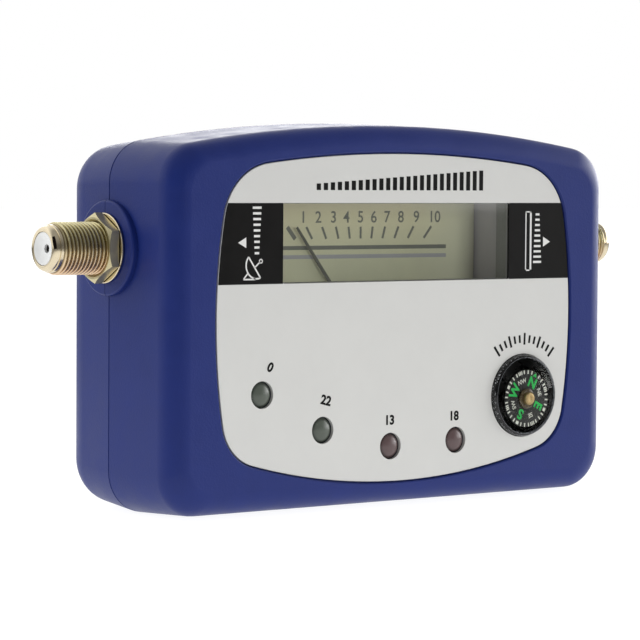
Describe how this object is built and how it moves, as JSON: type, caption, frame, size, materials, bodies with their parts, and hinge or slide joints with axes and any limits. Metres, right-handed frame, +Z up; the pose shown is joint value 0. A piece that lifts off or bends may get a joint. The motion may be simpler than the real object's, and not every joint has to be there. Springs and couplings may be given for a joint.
{
  "type": "satellite signal meter",
  "caption": "Hand-held meter that shows a dish's signal strength on a needle scale, with a compass, supply and tone lamps, and a threaded coaxial socket on each side.",
  "frame": {"origin": "bottom centre of the bounding box, on the lowest edge of the housing", "axes": "+Z up; -Y out of the printed front; +X to the right of someone who reads the scale"},
  "size_m": [0.1346, 0.041, 0.0715],
  "materials": {
    "blue_housing": "fine satin moulding",
    "silver_label": "satin silver print",
    "clear_plastic": "clear, polished",
    "grey_moulding": "matt",
    "khaki_scale": "matt print",
    "black_plastic": "satin",
    "needle_paint": "matt dark paint",
    "coil_copper": "lacquered wire",
    "bright_steel": "bright",
    "brass": "turned",
    "gold_nickel_plate": "warm nickel plate",
    "magnet": "dull",
    "white_insulator": "satin",
    "board_laminate": "green solder mask",
    "capacitor_sleeve": "shrunk sleeve",
    "ferrite": "matt",
    "control_grey": "matt",
    "green_lens": "clear tinted resin",
    "red_lens": "clear tinted resin"
  },
  "bodies": {
    "meter": {"front_shell": "blue_housing", "rear_shell": "blue_housing", "housing_screw_1": "bright_steel", "housing_screw_2": "bright_steel", "housing_screw_3": "bright_steel", "housing_screw_4": "bright_steel", "face_label": "silver_label", "meter_cover": "clear_plastic", "meter_case": "grey_moulding", "meter_dial": "khaki_scale", "magnet_core": "magnet", "iron_yoke": "bright_steel", "front_jewel_screw": "brass", "rear_jewel_screw": "brass", "pivot_bridge": "brass", "hairspring": "coil_copper", "meter_terminal_left": "bright_steel", "meter_terminal_right": "bright_steel", "led_0_hz": "green_lens", "led_22_khz": "green_lens", "led_13_v": "red_lens", "led_18_v": "red_lens", "compass_base": "black_plastic", "compass_dome": "clear_plastic", "compass_pivot": "bright_steel", "left_socket": "gold_nickel_plate", "left_insulator": "white_insulator", "left_contact": "gold_nickel_plate", "left_washer": "gold_nickel_plate", "left_nut": "gold_nickel_plate", "right_socket": "gold_nickel_plate", "right_insulator": "white_insulator", "right_contact": "gold_nickel_plate", "right_washer": "gold_nickel_plate", "right_nut": "gold_nickel_plate", "circuit_board": "board_laminate", "board_screw_left": "bright_steel", "board_screw_right": "bright_steel", "amplifier_chip": "black_plastic", "filter_capacitor_1": "capacitor_sleeve", "filter_capacitor_2": "capacitor_sleeve", "supply_choke": "ferrite", "voltage_regulator": "black_plastic", "gain_control": "control_grey"},
    "needle": {"meter_needle": "needle_paint", "moving_coil": "coil_copper", "front_staff": "bright_steel", "rear_staff": "bright_steel"},
    "compass_card": {"compass_card": "black_plastic", "compass_cap": "brass", "compass_magnet": "magnet"},
    "gain_knob": {"gain_knob": "black_plastic", "gain_shaft": "control_grey"}
  },
  "joints": [
    {"name": "needle_swing", "type": "hinge", "parent": "meter", "child": "needle", "pos_m": [-0.0005, -0.0067, 0.0312], "axis": [0, 1, 0], "range_deg": [-4, 79], "stiffness_Nm_per_rad": 0.00005},
    {"name": "compass_card_spin", "type": "hinge", "parent": "meter", "child": "compass_card", "pos_m": [0.0308, -0.0183, 0.0189], "axis": [0, 1, 0], "continuous": true},
    {"name": "gain_turn", "type": "hinge", "parent": "meter", "child": "gain_knob", "pos_m": [0, 0.018, 0.035], "axis": [0, -1, 0], "range_deg": [-135, 135]}
  ]
}
